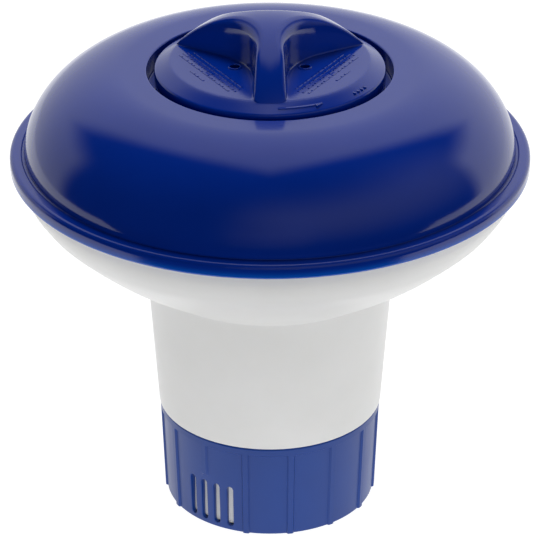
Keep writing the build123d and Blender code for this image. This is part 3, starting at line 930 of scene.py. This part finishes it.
def tint(tree, add, value, dark, light):
    """Mixes two colours by a value."""
    mix = add("ShaderNodeMix", data_type="RGBA")
    mix.inputs["A"].default_value = dark + (1,)
    mix.inputs["B"].default_value = light + (1,)
    tree.links.new(value, mix.inputs["Factor"])
    return mix.outputs["Result"]


def moulded_plastic(name, dark, light, roughness, grain, bump, flow=0.0):
    """Injection-moulded plastic: faint mottling, uneven gloss, fine surface texture."""
    material, tree, shader, add, place = node_material(name)
    mottle = noise(tree, add, place, 45.0, 5.0, 0.55)
    colour = tint(tree, add, spread(tree, add, mottle, 0, 1), dark, light)
    tree.links.new(colour, shader.inputs["Base Color"])
    haze = noise(tree, add, place, 90.0, 6.0, 0.65, (1, 1, 0.35))
    tree.links.new(
        spread(tree, add, haze, roughness[0], roughness[1]), shader.inputs["Roughness"])
    skin = noise(tree, add, place, grain, 2.0, 0.5)
    ripple = noise(tree, add, place, 140.0, 1.0, 0.4)
    fine = add("ShaderNodeBump", Strength=bump, Distance=0.00003)
    tree.links.new(skin, fine.inputs["Height"])
    broad = add("ShaderNodeBump", Strength=flow, Distance=0.00012)
    tree.links.new(ripple, broad.inputs["Height"])
    tree.links.new(fine.outputs["Normal"], broad.inputs["Normal"])
    tree.links.new(broad.outputs["Normal"], shader.inputs["Normal"])
    return material, shader


def blue_gloss():
    material, shader = moulded_plastic(
        "moulded_blue_gloss", (0.0005, 0.023, 0.26), (0.0007, 0.026, 0.29), (0.09, 0.14), 2600.0, 0.1, 0.1)
    shader.inputs["IOR"].default_value = 1.5
    paint_bowl_light_on_lip(material.node_tree, shader)
    return material


def paint_bowl_light_on_lip(tree, shader):
    """Paints the flange's lower lip a brighter blue, in place of the light the bowl throws on it."""
    place = tree.nodes.new("ShaderNodeTexCoord")
    split = tree.nodes.new("ShaderNodeSeparateXYZ")
    tree.links.new(place.outputs["Object"], split.inputs["Vector"])
    lip = tree.nodes.new("ShaderNodeMapRange")
    lip.interpolation_type = "SMOOTHSTEP"
    lip.inputs["From Min"].default_value = LIP_TOP_Z * MM
    lip.inputs["From Max"].default_value = LIP_BRIGHT_Z * MM
    tree.links.new(split.outputs["Z"], lip.inputs["Value"])
    mix = tree.nodes.new("ShaderNodeMix")
    mix.data_type = "RGBA"
    body_colour = shader.inputs["Base Color"].links[0].from_socket
    tree.links.new(lip.outputs["Result"], mix.inputs["Factor"])
    tree.links.new(body_colour, mix.inputs["A"])
    # painted light: the brighter blue stands in for the bowl's light on the lip
    mix.inputs["B"].default_value = (0.001, 0.09, 0.55, 1)
    tree.links.new(mix.outputs["Result"], shader.inputs["Base Color"])


def blue_satin():
    material, shader = moulded_plastic(
        "moulded_blue_satin", (0.002, 0.04, 0.25), (0.003, 0.048, 0.29), (0.3, 0.38), 2200.0, 0.3, 0.1)
    shader.inputs["IOR"].default_value = 1.48
    return material


def white_semi_gloss():
    material, shader = moulded_plastic(
        "moulded_white", (0.80, 0.80, 0.79), (0.84, 0.84, 0.835), (0.3, 0.38), 1800.0, 0.2, 0.08)
    shader.inputs["Subsurface Weight"].default_value = 0.12
    shader.inputs["Subsurface Radius"].default_value = (0.004, 0.0035, 0.003)
    shader.inputs["Subsurface Scale"].default_value = 1.0
    return material


def seal_rubber():
    return moulded_plastic(
        "black_rubber", (0.018, 0.018, 0.02), (0.03, 0.03, 0.032), (0.55, 0.7), 3500.0, 0.5, 0.1)[0]


# ================= studio =================


def add_area(name, place, aim, size, power):
    """Soft lamp that lights the part but is not mirrored in its gloss."""
    light = bpy.data.lights.new(name, "AREA")
    light.shape = "RECTANGLE"
    light.size, light.size_y = size
    light.energy = power
    lamp = bpy.data.objects.new(name, light)
    lamp.location = place
    lamp.rotation_euler = (Vector(aim) - Vector(place)).to_track_quat("-Z", "Y").to_euler()
    lamp.visible_glossy = False
    bpy.context.scene.collection.objects.link(lamp)


def studio():
    """A light tent open to the front: bright behind and above, dim in front, glowing table below."""
    world = bpy.data.worlds.new("studio")
    bpy.context.scene.world = world
    world.use_nodes = True
    tree = world.node_tree
    background = tree.nodes["Background"]
    background.inputs["Color"].default_value = (1, 1, 1, 1)
    place = tree.nodes.new("ShaderNodeTexCoord")
    split = tree.nodes.new("ShaderNodeSeparateXYZ")
    tree.links.new(place.outputs["Generated"], split.inputs["Vector"])
    across, along, height = (split.outputs[axis] for axis in "XYZ")

    def fade(value, dark_at, bright_at, level=1.0):
        node = tree.nodes.new("ShaderNodeMapRange")
        node.interpolation_type = "SMOOTHSTEP"
        node.inputs["From Min"].default_value = dark_at
        node.inputs["From Max"].default_value = bright_at
        node.inputs["To Max"].default_value = level
        tree.links.new(value, node.inputs["Value"])
        return node.outputs["Result"]

    def combine(kind, a, b):
        node = tree.nodes.new("ShaderNodeMath")
        node.operation = kind
        for socket, value in zip(node.inputs, (a, b)):
            if isinstance(value, (int, float)):
                socket.default_value = value
            else:
                tree.links.new(value, socket)
        return node.outputs["Value"]

    width = combine("ABSOLUTE", across, 0)
    behind = fade(combine("SUBTRACT", along, combine("MULTIPLY", width, 0.97)), -0.14, 0.16)
    low_sides = combine("MULTIPLY", fade(along, 0.18, 0.38), fade(height, 0.6, 0.35))
    tent = combine("MAXIMUM", behind, low_sides)
    level = combine("ADD", combine("MULTIPLY", across, 0.2), 0.92)

    level_way = tree.nodes.new("ShaderNodeVectorMath")
    level_way.operation = "MULTIPLY"
    level_way.inputs[1].default_value = (1, 1, 0)
    tree.links.new(place.outputs["Generated"], level_way.inputs[0])
    unit = tree.nodes.new("ShaderNodeVectorMath")
    unit.operation = "NORMALIZE"
    tree.links.new(level_way.outputs["Vector"], unit.inputs[0])
    toward = tree.nodes.new("ShaderNodeVectorMath")
    toward.operation = "DOT_PRODUCT"
    toward.inputs[1].default_value = (0.77, -0.64, 0)
    tree.links.new(unit.outputs["Vector"], toward.inputs[0])
    reflector = combine("MULTIPLY", fade(height, -0.15, 0.55), fade(height, 1.0, 0.6))
    reflector = combine("MULTIPLY", reflector, fade(toward.outputs["Value"], 0.15, 0.85, 0.33))
    total = combine("ADD", combine("MULTIPLY", tent, level), combine("ADD", reflector, 0.012))
    tree.links.new(total, background.inputs["Strength"])

    mesh = bpy.data.meshes.new("floor")
    left, right, front, rear = FLOOR_EDGES
    mesh.from_pydata(
        [(left, front, 0), (right, front, 0), (right, rear, 0), (left, rear, 0)], [], [(0, 1, 2, 3)])
    floor = bpy.data.objects.new("floor", mesh)
    floor.location.z = -FLOOR_GAP
    bpy.context.scene.collection.objects.link(floor)
    material, tree, shader, add, place = node_material("glowing_table")
    cloud = noise(tree, add, place, 3.0, 2.0)
    tree.links.new(
        tint(tree, add, cloud, (0.19, 0.19, 0.19), (0.21, 0.21, 0.21)), shader.inputs["Base Color"])
    shader.inputs["Roughness"].default_value = 0.9
    shader.inputs["Emission Color"].default_value = (1, 1, 1, 1)
    shader.inputs["Emission Strength"].default_value = 0.97
    mesh.materials.append(material)
    add_area("top_light", (0, 0.6, 1.15), (0, 0, 0.1), (0.7, 0.5), 9.0)
    add_area("front_fill", (0, -1.2, 0.25), (0, 0, 0.05), (0.8, 0.5), 4.5)


def camera():
    """Long lens, looking down on the front from about 28 degrees."""
    lens = bpy.data.cameras.new("camera")
    lens.sensor_width = 36.0
    lens.lens = CAMERA_LENS
    lens.clip_start = 0.01
    eye = bpy.data.objects.new("camera", lens)
    eye.location = CAMERA_PLACE
    eye.rotation_euler = (math.radians(90 - CAMERA_DOWN_DEG), 0, 0)
    bpy.context.scene.collection.objects.link(eye)
    bpy.context.scene.camera = eye


# ================= the whole thing =================

bpy.context.scene.view_settings.view_transform = "Standard"
gloss = blue_gloss()
satin = blue_satin()
white = white_semi_gloss()
rubber = seal_rubber()

camera()
studio()
build_float_top(gloss)
build_float_bowl(white)
build_flow_collar(satin)
build_tablet_tube(white)
build_cap(gloss)
for node, material in (("tablet_grate", white), ("cap_seal", rubber), ("tube_seal", rubber),
                       ("rim_seal", rubber), ("neck_seal", rubber)):
    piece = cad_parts[node]
    piece.data.materials.clear()
    piece.data.materials.append(material)
